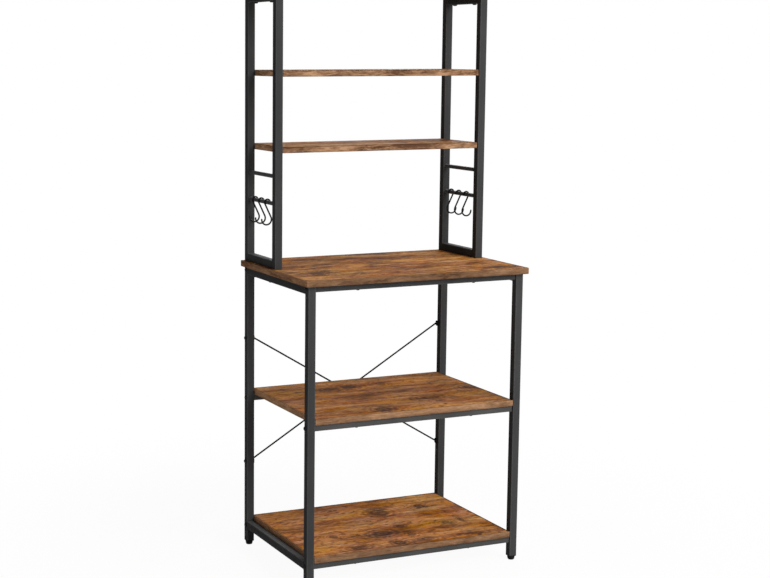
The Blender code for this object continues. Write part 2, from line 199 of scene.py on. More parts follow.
def coatMaterial(name, look):
    # fine orange peel in the coat, and a slow drift of tone; on the tubes, painted highlights on the rounded corners
    # and painted light on faces turned up
    material, shader = newMaterial(name, look["colour"], look["roughness"], look["specular"])
    tree = material.node_tree
    place = objectPlace(tree)
    peel = noiseNode(tree, place, (look["peel"],) * 3, coatGrain["detail"])
    drift = noiseNode(tree, place, coatGrain["driftWaves"], coatGrain["detail"])
    addBump(tree, shader, peel, coatGrain["bump"], look["peelDepth"])
    dark = tuple(part * (1 - coatGrain["toneSpread"]) for part in look["colour"])
    light = tuple(part * (1 + coatGrain["toneSpread"]) for part in look["colour"])
    coat = rampNode(tree, drift, list(zip(coatGrain["driftWindow"], (dark, light))))
    if "cornerHighlightGain" in look:
        # painted highlight: the tubes' attribute is 1 in the middle of each rounded corner, where the coat is painted
        # paler; faces turned up are painted paler too, as painted light from above
        corner = addNode(tree, "ShaderNodeAttribute", attribute_name="corner").outputs["Fac"]
        level = mathNode(tree, "MULTIPLY_ADD", corner, look["cornerHighlightGain"], 1.0)
        top = mapNode(tree, faceDirection(tree)[2], coatGrain["topLightFrom"], 1.0, 0.0, look["topLightGain"])
        coat = shadedColour(tree, coat, (mathNode(tree, "ADD", level, top),) * 3)
    tree.links.new(coat, shader.inputs["Base Color"])
    spread = coatGrain["roughSpread"]
    rough = mathNode(tree, "MULTIPLY_ADD", peel, spread, look["roughness"] - spread / 2)
    tree.links.new(rough, shader.inputs["Roughness"])
    return material


steel = coatMaterial("black powder coat", steelLook)
litRailSteel = coatMaterial("black rail coat painted lighter", railLitCoatLook)
litRodSteel = coatMaterial("black rod coat painted lighter", rodLitCoatLook)
braceSteel = coatMaterial("black brace coat", braceCoatLook)
boltSteel = coatMaterial("black oxide", boltLook)
wire = coatMaterial("black wire coat", wireLook)
plastic = coatMaterial("black nylon", plasticLook)


# rustic brown print: grain along X, dark ragged knots, smoky clouds, and a hue that wanders between orange and mauve

boardLook = {
    "tones": (
        (0.08, (0.078, 0.031, 0.015)),
        (0.30, (0.185, 0.069, 0.022)),
        (0.48, (0.340, 0.132, 0.033)),
        (0.66, (0.460, 0.197, 0.049)),
        (0.90, (0.610, 0.325, 0.115)),
    ),
    "cloudColour": (0.165, 0.082, 0.052),
    "cloudMix": 0.45,
    "knotColour": (0.036, 0.021, 0.017),
    "poreColour": (0.070, 0.032, 0.018),
    "hueSwing": 0.060,
    "saturation": (1.10, 0.83),
    "saturationWindow": (0.32, 0.66),
    # painted shade along the board's borders
    "rim": 0.0042,
    "rimBlur": 0.001,
    "rimShade": {"right": 0.80, "left": 0.35, "rear": 0.80, "front": 0.42},
    "roughness": 0.55,
    "roughSpread": 0.16,
    "specular": 0.002,
    "bump": 0.5,
    "bumpDepth": 0.00012,
    "poreDepth": 0.8,
    "fineWaves": 175.0,
}

# the print's noises: waves per metre along each axis, detail, roughness
printNoises = {
    "bend": ((6.0, 12.0, 12.0), 2.0, 0.55),
    "bands": ((3.0, 12.0, 12.0), 3.0, 0.60),
    "streaks": ((8.0, 52.0, 52.0), 5.0, 0.70),
    "blotches": ((24.0, 72.0, 72.0), 3.0, 0.70),
    "ragged": ((40.0, 80.0, 80.0), 5.0, 0.75),
    "drifting": ((14.0, 46.0, 46.0), 5.0, 0.72),
    "smoke": ((8.0, 24.0, 24.0), 6.0, 0.72),
    "mottle": ((48.0, 120.0, 120.0), 3.0, 0.60),
    "pores": ((60.0, 190.0, 190.0), 2.0, 0.50),
    "specks": ((38.0, 82.0, 82.0), 2.0, 0.50),
    "turn": ((7.0, 18.0, 18.0), 3.0, 0.60),
    "wash": ((9.0, 32.0, 32.0), 4.0, 0.65),
}
grainLook = {
    "shares": {"bands": 0.75, "streaks": 1.25, "blotches": 0.45},
    "fineShare": 0.80,
    "fineLength": 55.0,
    "fineNoise": (4.0, 0.7),
    "bendBy": 0.050,
}

# marks cut from a noise: it starts at the first level, is full at the second, and covers the third's share
markLook = {"smoke": (0.54, 0.68, 0.55), "pores": (0.58, 0.66, 0.7), "specks": (0.64, 0.69, 0.8)}

# knots and clouds: their rims waver by the raggedness and fade over the softness; mottle breaks up the knots
knotLook = {"reach": 1.2, "raggedness": 5.0, "soft": 0.55, "mottle": (0.32, 0.56, 0.66)}
cloudLook = {"reach": 1.2, "raggedness": 4.6, "soft": 0.9}

# growth rings round the knots
ringLook = {"waves": 10.0, "waver": 9.0, "fade": (0.5, 2.6), "depth": 0.14}

# each board has its own stretch of the print: an offset, a shade, and its knots and clouds as x, y, half length,
# half width and strength; the shade is painted light, lifting the middle and bottom boards to make up for the shade
# that the boards above cast on them; edgeShade is the edge band's own level, given for the boards that lie on rails
boards = {
    "worktop": {
        "offset": (0.0, 0.0, 0.0),
        "shade": 1.0,
        "tint": (1.02, 0.95, 0.80),
        "contrast": 1.75,
        "edgeShade": 0.76,
        "knots": (
            (-0.222, -0.112, 0.028, 0.024, 0.80), (-0.192, -0.068, 0.014, 0.018, 0.55),
            (-0.045, -0.040, 0.012, 0.010, 0.50), (-0.011, 0.024, 0.016, 0.014, 0.50),
            (0.072, 0.182, 0.040, 0.014, 0.50), (0.225, -0.160, 0.022, 0.014, 0.45),
        ),
        "clouds": (
            (-0.080, 0.155, 0.100, 0.034, 0.75), (-0.080, 0.060, 0.110, 0.024, 0.60),
            (0.030, -0.168, 0.110, 0.026, 0.55), (0.120, 0.110, 0.090, 0.030, 0.40),
            (0.190, -0.050, 0.060, 0.024, 0.30), (-0.270, 0.050, 0.030, 0.050, 0.40),
            (-0.060, -0.190, 0.230, 0.012, 0.75),
        ),
    },
    "middle_shelf": {
        "offset": (3.1, 1.7, 0.0),
        "shade": 1.14,
        "edgeShade": 1.02,
        "knots": (
            (-0.038, 0.105, 0.024, 0.026, 0.85), (-0.090, 0.096, 0.026, 0.018, 0.60),
            (-0.072, -0.152, 0.026, 0.024, 0.75), (0.056, 0.109, 0.015, 0.020, 0.50),
            (0.097, -0.082, 0.030, 0.018, 0.50), (0.250, -0.012, 0.022, 0.022, 0.60),
        ),
        "clouds": (
            (0.020, 0.012, 0.190, 0.026, 0.70), (-0.210, 0.140, 0.050, 0.034, 0.60),
            (-0.110, -0.105, 0.030, 0.024, 0.45), (0.130, -0.075, 0.070, 0.050, 0.45),
            (-0.060, 0.100, 0.090, 0.040, 0.45),
        ),
    },
    "bottom_shelf": {
        "offset": (6.4, 4.2, 0.0),
        "shade": 1.32,
        "edgeShade": 0.88,
        "knots": (
            (0.040, 0.079, 0.032, 0.030, 0.80), (0.168, 0.092, 0.018, 0.018, 0.90),
            (-0.035, -0.080, 0.034, 0.022, 0.70), (0.037, -0.045, 0.014, 0.012, 0.70),
            (0.033, -0.112, 0.014, 0.016, 0.65), (-0.135, -0.158, 0.028, 0.016, 0.75),
            (-0.027, -0.161, 0.020, 0.018, 0.80), (0.053, -0.158, 0.022, 0.014, 0.50),
            (0.182, -0.165, 0.034, 0.014, 0.65), (0.165, -0.060, 0.020, 0.014, 0.60),
            (0.210, -0.045, 0.008, 0.026, 0.65), (-0.158, -0.060, 0.014, 0.012, 0.50),
        ),
        "clouds": (
            (-0.040, -0.088, 0.210, 0.030, 0.60), (0.020, -0.075, 0.070, 0.040, 0.65),
            (0.026, 0.045, 0.030, 0.030, 0.55), (-0.120, -0.160, 0.100, 0.020, 0.50),
            (0.150, -0.165, 0.080, 0.018, 0.50), (-0.150, 0.150, 0.100, 0.024, 0.55),
            (-0.040, -0.182, 0.220, 0.008, 0.95),
        ),
    },
    "hutch_shelf_lower": {
        "offset": (9.7, 2.9, 0.0),
        "shade": 1.0,
        "contrast": 1.6,
        "knots": ((0.09, 0.08, 0.03, 0.02, 0.7),),
        "clouds": ((-0.10, 0.10, 0.09, 0.03, 0.5), (0.10, 0.176, 0.13, 0.016, 0.9)),
    },
    "hutch_shelf_upper": {
        "offset": (12.3, 5.6, 0.0),
        "shade": 1.0,
        "contrast": 1.6,
        "knots": ((-0.12, 0.12, 0.03, 0.02, 0.7),),
        "clouds": ((0.08, 0.09, 0.10, 0.03, 0.5), (-0.06, 0.176, 0.20, 0.016, 0.8)),
    },
    "top_shelf": {
        "offset": (15.2, 0.8, 0.0),
        "shade": 1.0,
        "contrast": 1.4,
        "knots": ((-0.05, 0.06, 0.03, 0.022, 0.8), (0.19, 0.13, 0.022, 0.018, 0.7)),
        "clouds": ((-0.18, 0.12, 0.09, 0.03, 0.5), (0.10, 0.06, 0.10, 0.02, 0.4)),
    },
}


def printNoise(tree, place, kind):
    return noiseNode(tree, place, *printNoises[kind])


def grainTone(tree, place, fineWaves):
    # tone = 0.5 + bands + streaks + blotches + fine grain, each noise about its mean of 0.5 times its share
    bendBy = grainLook["bendBy"]
    bend = mathNode(tree, "MULTIPLY_ADD", printNoise(tree, place, "bend"), bendBy, -bendBy / 2)
    bent = addNode(tree, "ShaderNodeCombineXYZ", {1: bend}).outputs[0]
    place = vectorNode(tree, "ADD", place, bent)[0]
    tone = 0.5 - (sum(grainLook["shares"].values()) + grainLook["fineShare"]) / 2
    for kind, share in grainLook["shares"].items():
        tone = mathNode(tree, "MULTIPLY_ADD", printNoise(tree, place, kind), share, tone)
    fine = noiseNode(tree, place, (grainLook["fineLength"], fineWaves, fineWaves), *grainLook["fineNoise"])
    return mathNode(tree, "MULTIPLY_ADD", fine, grainLook["fineShare"], tone), fine, place


def stretchedTone(tree, tone, contrast):
    # tone drawn apart about its middle
    return mathNode(tree, "MULTIPLY_ADD", tone, contrast, 0.5 - contrast / 2)


def patchMask(tree, raw, ragged, patches, look):
    # a patch fades with the distance from its middle, measured along and across the grain, and its rim is ragged
    dark = None
    nearest = None
    start = look["reach"] - look["raggedness"] / 2
    for x, y, halfLength, halfWidth, strength in patches:
        shift = vectorNode(tree, "SUBTRACT", raw, (x, y, 0.0))[0]
        scaled = vectorNode(tree, "MULTIPLY", shift, (1 / halfLength, 1 / halfWidth, 0.0))[0]
        far = vectorNode(tree, "LENGTH", scaled)["Value"]
        edge = mathNode(tree, "MULTIPLY_ADD", ragged, look["raggedness"], mathNode(tree, "SUBTRACT", start, far))
        inside = mapNode(tree, edge, 0.0, look["soft"], 0.0, strength)
        dark = inside if dark is None else mathNode(tree, "MAXIMUM", dark, inside)
        nearest = far if nearest is None else mathNode(tree, "MINIMUM", nearest, far)
    return dark, nearest


def scatteredMarks(tree, place, kind):
    start, full, strength = markLook[kind]
    cut = rampNode(tree, printNoise(tree, place, kind), ((start, (0, 0, 0)), (full, (1, 1, 1))))
    return mathNode(tree, "MULTIPLY", cut, strength)


def borderShade(tree, raw, low, high):
    # painted shade: 1 over the board, darker by each border's shade in a narrow strip along that border, as shade along
    # the arrises
    axes = splitAxes(tree, raw)
    borders = {"right": (0, high[0], -1), "left": (0, low[0], 1), "rear": (1, high[1], -1), "front": (1, low[1], 1)}
    level = None
    for border, (axis, limit, inward) in borders.items():
        start = float(limit + inward * boardLook["rim"])
        end = start + inward * boardLook["rimBlur"]
        near = mapNode(tree, axes[axis], start, end, 1 - boardLook["rimShade"][border], 1.0)
        level = near if level is None else mathNode(tree, "MINIMUM", level, near)
    return level


def wanderingHue(tree, place, colour):
    # the hue turns and the saturation swells with two slow noises
    swing = boardLook["hueSwing"]
    turn = printNoise(tree, place, "turn")
    wash = printNoise(tree, place, "wash")
    hue = mathNode(tree, "MULTIPLY_ADD", turn, swing, 0.5 - swing / 2)
    saturation = mapNode(tree, wash, *boardLook["saturationWindow"], *boardLook["saturation"])
    return addNode(tree, "ShaderNodeHueSaturation", {"Hue": hue, "Saturation": saturation, "Color": colour}).outputs[0]


def boardMaterial(name, design, low, high):
    middleTone = boardLook["tones"][2][1]
    cloudColour, knotColour, poreColour = ((*boardLook[kind + "Colour"], 1.0) for kind in ("cloud", "knot", "pore"))
    material, shader = newMaterial(name, middleTone, boardLook["roughness"], boardLook["specular"])
    tree = material.node_tree
    raw = objectPlace(tree)
    place = addNode(tree, "ShaderNodeMapping", {"Vector": raw, "Location": design["offset"]}).outputs[0]
    tone, fine, bent = grainTone(tree, place, boardLook["fineWaves"])
    ragged = printNoise(tree, bent, "ragged")
    dark, nearest = patchMask(tree, raw, ragged, design["knots"], knotLook)
    cloud, _ = patchMask(tree, raw, printNoise(tree, bent, "drifting"), design["clouds"], cloudLook)
    # growth rings: sine of the distance from the nearest knot, fading out with that distance
    waver = mathNode(tree, "MULTIPLY", ragged, ringLook["waver"])
    wave = mathNode(tree, "SINE", mathNode(tree, "MULTIPLY_ADD", nearest, ringLook["waves"], waver))
    fade = mapNode(tree, nearest, *ringLook["fade"], ringLook["depth"], 0.0)
    tone = stretchedTone(tree, tone, design.get("contrast", 1.0))
    tone = mathNode(tree, "MULTIPLY_ADD", wave, fade, mathNode(tree, "SUBTRACT", tone, fade))
    colour = rampNode(tree, tone, boardLook["tones"])
    smoke = mathNode(tree, "MAXIMUM", scatteredMarks(tree, bent, "smoke"), cloud)
    colour = mixColour(tree, smoke, colour, mixColour(tree, boardLook["cloudMix"], colour, cloudColour, "MULTIPLY"))
    mottleStart, mottleEnd, mottleLow = knotLook["mottle"]
    mottle = mapNode(tree, printNoise(tree, bent, "mottle"), mottleStart, mottleEnd, mottleLow, 1.0)
    colour = mixColour(tree, mathNode(tree, "MULTIPLY", dark, mottle), colour, knotColour)
    pore = scatteredMarks(tree, bent, "pores")
    colour = mixColour(tree, pore, colour, poreColour)
    colour = mixColour(tree, scatteredMarks(tree, bent, "specks"), colour, poreColour)
    colour = wanderingHue(tree, bent, colour)
    border = borderShade(tree, raw, low, high)
    tint = design.get("tint", (1.0, 1.0, 1.0))
    # painted light: the board's shade lifts the lower boards, which lie in the shade of the boards above
    colour = shadedColour(tree, colour, [mathNode(tree, "MULTIPLY", border, design["shade"] * part) for part in tint])
    tree.links.new(colour, shader.inputs["Base Color"])
    height = mathNode(tree, "SUBTRACT", fine, mathNode(tree, "MULTIPLY", pore, boardLook["poreDepth"]))
    addBump(tree, shader, height, boardLook["bump"], boardLook["bumpDepth"])
    spread = boardLook["roughSpread"]
    rough = mathNode(tree, "MULTIPLY_ADD", fine, spread, boardLook["roughness"] - spread / 2)
    tree.links.new(rough, shader.inputs["Roughness"])
    return material


edgeLook = {
    "tones": (
        (0.12, (0.090, 0.044, 0.024)),
        (0.38, (0.192, 0.101, 0.054)),
        (0.60, (0.276, 0.151, 0.081)),
        (0.88, (0.400, 0.232, 0.130)),
    ),
    # painted shade: each band darkens towards the edge's bottom, and on a free shelf towards its top too
    "onRails": {"shadeFall": ((0.0, 0.66), (0.2, 0.86), (0.5, 0.97), (0.8, 1.0)), "contrast": 1.2},
    "free": {"shadeFall": ((0.0, 0.72), (0.16, 1.0), (0.8, 1.0), (1.0, 0.60)), "contrast": 2.1},
    "endLight": 1.7,
    "roughness": 0.55,
    "specular": 0.002,
    "bump": 0.4,
    "bumpDepth": 0.0001,
    "fineWaves": 300.0,
}


def edgeMaterial(name, design, low, high):
    # the band's print runs along the edge: x + y goes along it and z across. Painted shade: its tone falls off towards
    # the edge's bottom, and on a free shelf also towards its top
    material, shader = newMaterial(name, edgeLook["tones"][2][1], edgeLook["roughness"], edgeLook["specular"])
    tree = material.node_tree
    axes = splitAxes(tree, objectPlace(tree))
    along = mathNode(tree, "ADD", mathNode(tree, "ADD", axes[0], axes[1]), design["offset"][0])
    across = mathNode(tree, "ADD", axes[2], design["offset"][1])
    place = addNode(tree, "ShaderNodeCombineXYZ", {0: along, 1: across}).outputs[0]
    tone, fine, _ = grainTone(tree, place, edgeLook["fineWaves"])
    band = edgeLook["onRails" if "edgeShade" in design else "free"]
    colour = rampNode(tree, stretchedTone(tree, tone, band["contrast"]), edgeLook["tones"])
    height = mapNode(tree, axes[2], float(low[2]), float(high[2]))
    shadeFall = rampNode(tree, height, [(stop, (level,) * 3) for stop, level in band["shadeFall"]])
    colour = mixColour(tree, 1.0, colour, shadeFall, "MULTIPLY")
    # painted light: the bands on the board's two ends are painted lighter, standing in for the light on the left end
    shade = design.get("edgeShade", 1.0)
    endwards = mathNode(tree, "ABSOLUTE", faceDirection(tree)[0])
    level = mathNode(tree, "MULTIPLY_ADD", endwards, edgeLook["endLight"] - shade, shade)
    tree.links.new(shadedColour(tree, colour, (level,) * 3), shader.inputs["Base Color"])
    addBump(tree, shader, fine, edgeLook["bump"], edgeLook["bumpDepth"])
    return material


print("materials made")


# surfaces from arrays

facing = {
    "+x": np.array([(0, 0, 1), (1, 0, 0), (0, 1, 0)], float),
    "-x": np.array([(0, 0, -1), (-1, 0, 0), (0, 1, 0)], float),
    "+y": np.array([(0, 1, 0), (0, 0, 1), (1, 0, 0)], float),
    "+z": np.eye(3),
    "-z": np.array([(1, 0, 0), (0, -1, 0), (0, 0, -1)], float),
}
meshing = {"mergeWithin": 1e-6, "emptyBelow": 1e-7, "sharpFrom": math.radians(40.0)}
quarter = np.pi / 2


def aimed(points, direction, start=(0, 0, 0)):
    # local (across, up, along) turned so that along points in the direction, then moved to start
    return points @ facing[direction].T + np.asarray(start, float)


def gridFaces(rows, columns, loopRows):
    # quads between each row and the next; the columns always close round
    count = rows if loopRows else rows - 1
    low = np.arange(count)[:, None] * columns
    high = (np.arange(count)[:, None] + 1) % rows * columns
    here = np.arange(columns)[None, :]
    after = (here + 1) % columns
    return np.stack([low + here, low + after, high + after, high + here], -1).reshape(-1, 4)


def surfacePiece(name, patches, materials, corner=None):
    # each patch is (grid of rows x columns x 3, material index, loop the rows, cap the ends); corner is a level for
    # each point, which the coat reads as a painted highlight on the tubes' rounded corners
    vertices = []
    faces = []
    indices = []
    start = 0
    for grid, index, loopRows, capped in patches:
        rows, columns = grid.shape[:2]
        faces += (gridFaces(rows, columns, loopRows) + start).tolist()
        if capped:
            faces.append(list(range(start + columns - 1, start - 1, -1)))
            faces.append(list(range(start + (rows - 1) * columns, start + rows * columns)))
        indices += [index] * (len(faces) - len(indices))
        vertices.append(grid.reshape(-1, 3))
        start += rows * columns
    mesh = bpy.data.meshes.new(name)
    mesh.from_pydata(np.concatenate(vertices), [], faces)
    mesh.polygons.foreach_set("material_index", indices)
    for material in materials:
        mesh.materials.append(material)
    if corner is not None:
        mesh.attributes.new("corner", "FLOAT", "POINT").data.foreach_set("value", corner)
    welded = bmesh.new()
    welded.from_mesh(mesh)
    bmesh.ops.remove_doubles(welded, verts=welded.verts, dist=meshing["mergeWithin"])
    bmesh.ops.dissolve_degenerate(welded, edges=welded.edges, dist=meshing["emptyBelow"])
    welded.to_mesh(mesh)
    welded.free()
    mesh.shade_smooth()
    mesh.set_sharp_from_angle(angle=meshing["sharpFrom"])
    piece = bpy.data.objects.new(name, mesh)
    bpy.context.scene.collection.objects.link(piece)
    return piece


def register(piece, body, slotName, *nodes):
    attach(piece, body)
    if nodes:
        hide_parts(*nodes)


def circleAngles(steps):
    return np.arange(steps) * 2 * np.pi / steps


def arcPoints(radius, turns):
    return radius * np.stack([np.cos(turns), np.sin(turns)], -1)


def squareRing(width, height, corner, steps=6):
    # rounded rectangle: a quarter circle of the corner radius about each corner's centre, anticlockwise
    turns = (np.arange(4)[:, None] + np.linspace(0, 1, steps + 1)[None, :]) * quarter
    centres = np.array([(1, 1), (-1, 1), (-1, -1), (1, -1)]) * (width / 2 - corner, height / 2 - corner)
    return (centres[:, None, :] + arcPoints(corner, turns)).reshape(-1, 2)


def stackRings(rings):
    # rings is a list of (outline of N x 2, distance along)
    return np.stack([np.column_stack([ring, np.full(len(ring), along)]) for ring, along in rings])


def roundGrid(profile, steps):
    # turned shape: (radius cos a, radius sin a, along) for each profile point and each angle a
    profile = np.asarray(profile, float)
    angle = circleAngles(steps)
    across = profile[:, :1] * np.cos(angle)
    up = profile[:, :1] * np.sin(angle)
    return np.stack([across, up, np.broadcast_to(profile[:, 1:], across.shape)], -1)


# square tubes: posts, side bars and rails

tubeLook = {
    "corner": 0.0026,
    "leastCorner": 0.0006,
    "wall": 0.0012,
    "ease": 0.0003,
    "bead": 0.0012,
    "beadSteps": 5,
    "narrower": 0.0002,
}
railLook = dict(tubeLook, corner=0.0021)


def squareTube(size, length, look, beaded=False):
    # outline carried from 0 to length; a beaded bar is a little narrower than its posts, and at its ends its height
    # flares by bead * (1 - sin t) as a weld fillet
    corner = look["corner"]
    ease = look["ease"]
    hollow = size - 2 * look["wall"]
    inner = squareRing(hollow, hollow, max(corner - look["wall"], look["leastCorner"]))
    outer = squareRing(size, size, corner)
    if beaded:
        rings = []
        for turn in np.linspace(0, quarter, look["beadSteps"]):
            flare = look["bead"] * (1 - np.sin(turn))
            ring = squareRing(size + 2 * flare, size - look["narrower"], corner)
            rings.append((ring, look["bead"] * (1 - np.cos(turn))))
        rings += [(ring, length - along) for ring, along in reversed(rings)]
    else:
        eased = squareRing(size - 2 * ease, size - 2 * ease, corner - ease)
        rings = [(eased, 0.0), (outer, ease), (outer, length - ease), (eased, length)]
    return stackRings([(inner, 0.0), *rings, (inner, length)])


def makeTube(node, start, length, direction, size, look, beaded=False, coat=steel):
    grid = aimed(squareTube(size, length, look, beaded), direction, start)
    rows, columns = grid.shape[:2]
    # painted highlight level: 1 in the middle of each corner's arc and 0 at its ends: sine of the turn along the arc
    arc = np.tile(np.sin(np.linspace(0, np.pi, columns // 4)), 4)
    piece = surfacePiece("painted_" + node, [(grid, 0, True, False)], [coat], corner=np.tile(arc, rows))
    register(piece, "rack", "black_steel", node)


tube = rack["tube"]
railSize = rack["railTube"]
under = {level: rack[level + "Top"] - rack["boardThickness"] for level in ("worktop", "middle", "bottom")}
railLevels = {"top": under["worktop"], "middle": under["middle"], "bottom": under["bottom"]}
railLength = 2 * rack["innerX"]
frameReach = rack["frameRear"] - rack["frameFront"] - 2 * tube
hutchFront = rack["hutchFrontPostY"] - tube / 2
hutchReach = rack["frameRear"] - hutchFront - 2 * tube
lowerPostHeight = under["worktop"] - rack["postBottom"]
hutchPostHeight = rack["hutchTop"] - rack["worktopTop"]
bars = (
    ("lower_top_bar", under["worktop"], rack["frameFront"], frameReach),
    ("lower_bottom_bar", rack["bottomBarTop"], rack["frameFront"], frameReach),
    ("hutch_bottom_bar", rack["worktopTop"] + tube, hutchFront, hutchReach),
    ("hutch_top_bar", rack["hutchTop"], hutchFront, hutchReach),
)
for side, sign in sides.items():
    x = sign * rack["postX"]
    for row, y in postRows:
        makeTube(f"lower_post_{row}_{side}", (x, y, rack["postBottom"]), lowerPostHeight, "+z", tube, tubeLook)
    for row, y in hutchPostRows:
        makeTube(f"hutch_post_{row}_{side}", (x, y, rack["worktopTop"]), hutchPostHeight, "+z", tube, tubeLook)
    for node, top, front, length in bars:
        makeTube(f"{node}_{side}", (x, front + tube, top - tube / 2), length, "+y", tube, tubeLook, True)
for level, top in railLevels.items():
    # painted light: the rails below the top one take the lighter copy of the coat
    coat = steel if level == "top" else litRailSteel
    for row, y in railRows:
        start = (-railLength / 2, y, top - railSize / 2)
        makeTube(f"{level}_rail_{row}", start, railLength, "+x", railSize, railLook, coat=coat)
print("tubes made")


# boards: eased edges with a thin band round them, and the print on both faces

boardEdge = {"corner": 0.0035, "leastCorner": 0.0005, "cornerSteps": 8, "ease": 0.0011, "easeSteps": 4, "margin": 0.004}


def boardPatches(low, high):
    # side: outline shrunk by ease * (1 - sin t) at ease * (1 - cos t) from either face; faces: a margin inside it
    width = high[0] - low[0]
    depth = high[1] - low[1]
    centre = ((low[0] + high[0]) / 2, (low[1] + high[1]) / 2, 0.0)
    ease = boardEdge["ease"]

    def outline(inset, z):
        corner = max(boardEdge["corner"] - inset, boardEdge["leastCorner"])
        return squareRing(width - 2 * inset, depth - 2 * inset, corner, boardEdge["cornerSteps"]), z

    turns = np.linspace(0, quarter, boardEdge["easeSteps"] + 1)
    side = [outline(ease * (1 - np.sin(t)), low[2] + ease * (1 - np.cos(t))) for t in turns]
    side += [outline(ease * (1 - np.sin(t)), high[2] - ease * (1 - np.cos(t))) for t in reversed(turns)]
    margin = ease + boardEdge["margin"]
    lower = [outline(margin, low[2]), outline(ease, low[2])]
    upper = [outline(ease, high[2]), outline(margin, high[2])]
    return [(stackRings(rings) + centre, index, False, False) for rings, index in ((side, 1), (lower, 0), (upper, 0))]


def makeBoard(node, design):
    low, high = (np.array(corner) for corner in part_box(node))
    facePrint = boardMaterial(node + " face", design, low, high)
    edgePrint = edgeMaterial(node + " edge", design, low, high)
    piece = surfacePiece("printed_" + node, boardPatches(low, high), [facePrint, edgePrint])
    # the two faces are closed inside their margins
    closing = bmesh.new()
    closing.from_mesh(piece.data)
    openEdges = [edge for edge in closing.edges if edge.is_boundary]
    for face in bmesh.ops.holes_fill(closing, edges=openEdges, sides=0)["faces"]:
        face.material_index = 0
        face.smooth = True
    bmesh.ops.recalc_face_normals(closing, faces=closing.faces)
    closing.to_mesh(piece.data)
    closing.free()
    register(piece, "rack", "brown_board", node)


for node, design in boards.items():
    makeBoard(node, design)
print("boards made")


# hook rods and the cross brace

rodLook = {"radius": 0.005, "lift": {"lower": 0.900, "upper": 0.967}, "bead": 0.0010, "beadSteps": 5, "steps": 40}


def rodProfile(look, length):
    # at both ends the radius flares by bead * (1 - sin t) as a weld fillet
    turns = np.linspace(0, quarter, look["beadSteps"])
    bead = look["bead"]
    flare = [(look["radius"] + bead * (1 - np.sin(t)), bead * (1 - np.cos(t))) for t in turns]
    return [(0.0, 0.0), *flare, *[(radius, length - along) for radius, along in reversed(flare)], (0.0, length)]


for side, sign in sides.items():
    for level, z in rodLook["lift"].items():
        profile = rodProfile(rodLook, hutchReach)
        grid = aimed(roundGrid(profile, rodLook["steps"]), "+y", (sign * rack["postX"], hutchFront + tube, z))
        piece = surfacePiece(f"painted_hook_rod_{level}_{side}", [(grid, 0, False, False)], [litRodSteel])
        register(piece, "rack", "black_steel", f"hook_rod_{level}_{side}")

braceLook = {
    "radius": 0.0021,
    "steps": 24,
    "firstRodY": 0.1924,
    "gap": 0.0003,
    "seatGap": 0.0003,
    "plate": 0.0020,
    "plateHeight": 0.014,
    "plateFront": 0.180,
    "plateCorner": 0.0045,
    "hole": 0.0028,
    "bevel": 0.0003,
    "bevelShare": 0.97,
}


def braceRod(start, end, look):
    # circle carried along the straight line from start to end
    start = np.array(start, float)
    end = np.array(end, float)
    along = (end - start) / np.linalg.norm(end - start)
    first = np.array([0.0, 1.0, 0.0])
    second = np.cross(along, first)
    angle = circleAngles(look["steps"])
    ring = look["radius"] * (np.cos(angle)[:, None] * first + np.sin(angle)[:, None] * second)
    return np.stack([start + ring, end + ring])


def bracePlate(face, y, height, look):
    # rounded plate with a hole: the outline and the hole have as many points, so they join one to one
    rear = y + look["radius"]
    middle = (rear + look["plateFront"]) / 2
    outer = squareRing(rear - look["plateFront"], look["plateHeight"], look["plateCorner"])
    offset = rack["braceBoltY"] - middle
    angle = np.arctan2(outer[:, 1], outer[:, 0] - offset)
    hole = arcPoints(look["hole"], angle) + (offset, 0.0)
    thick = look["plate"]
    eased = outer * look["bevelShare"]
    rings = [(hole, 0.0), (eased, 0.0), (outer, look["bevel"])]
    rings += [(ring, thick - along) for ring, along in reversed(rings)]
    return aimed(stackRings(rings), "+x", (face if face < 0 else face - thick, middle, height))


upperBolt, lowerBolt = rack["braceBoltZ"]
braceFace = rack["innerX"] - braceLook["seatGap"]
braceEnd = braceFace - braceLook["plate"] / 2
braceRods = (("brace_rod_falling", upperBolt, lowerBolt), ("brace_rod_rising", lowerBolt, upperBolt))
for order, (node, leftZ, rightZ) in enumerate(braceRods):
    y = braceLook["firstRodY"] + order * (2 * braceLook["radius"] + braceLook["gap"])
    patches = [(braceRod((-braceEnd, y, leftZ), (braceEnd, y, rightZ), braceLook), 0, False, True)]
    for face, z in ((-braceFace, leftZ), (braceFace, rightZ)):
        patches.append((bracePlate(face, y, z, braceLook), 0, True, False))
    piece = surfacePiece("painted_" + node, patches, [braceSteel])
    register(piece, "rack", "black_steel", node)
print("rods and brace made")


# S-hooks

hookLook = {
    "wire": 0.002,
    "loop": 0.0074,
    "bowl": 0.013,
    "height": 0.067,
    "tipDrop": 0.003,
    "bowlEnd": 188.0,
    "places": (0.150, 0.112, 0.074),
    "loopSteps": 48,
    "bowlSteps": 56,
    "rings": 150,
    "tipSteps": 6,
    "steps": 20,
    "tangentReach": 1e-4,
}


def hookLine(look):
    # tip, loop over the rod, straight shank and bowl, then turned about the rod so that it hangs at rest
    drop = look["height"] - 2 * look["wire"] - look["loop"] - look["bowl"]
    lean = math.asin((look["loop"] + look["bowl"]) / drop)
    loop = arcPoints(look["loop"], np.linspace(0, np.pi + lean, look["loopSteps"]))
    bowl = arcPoints(look["bowl"], np.linspace(lean, -math.radians(look["bowlEnd"]), look["bowlSteps"])) - (0.0, drop)
    line = np.concatenate([[(look["loop"], -look["tipDrop"])], loop, bowl])
    steps = np.linalg.norm(np.diff(line, axis=0), axis=1)
    centre = ((line[:-1] + line[1:]) / 2 * steps[:, None]).sum(0) / steps.sum()
    turn = -math.atan2(centre[0], -centre[1])
    return line @ np.array([(math.cos(turn), math.sin(turn)), (-math.sin(turn), math.cos(turn))])


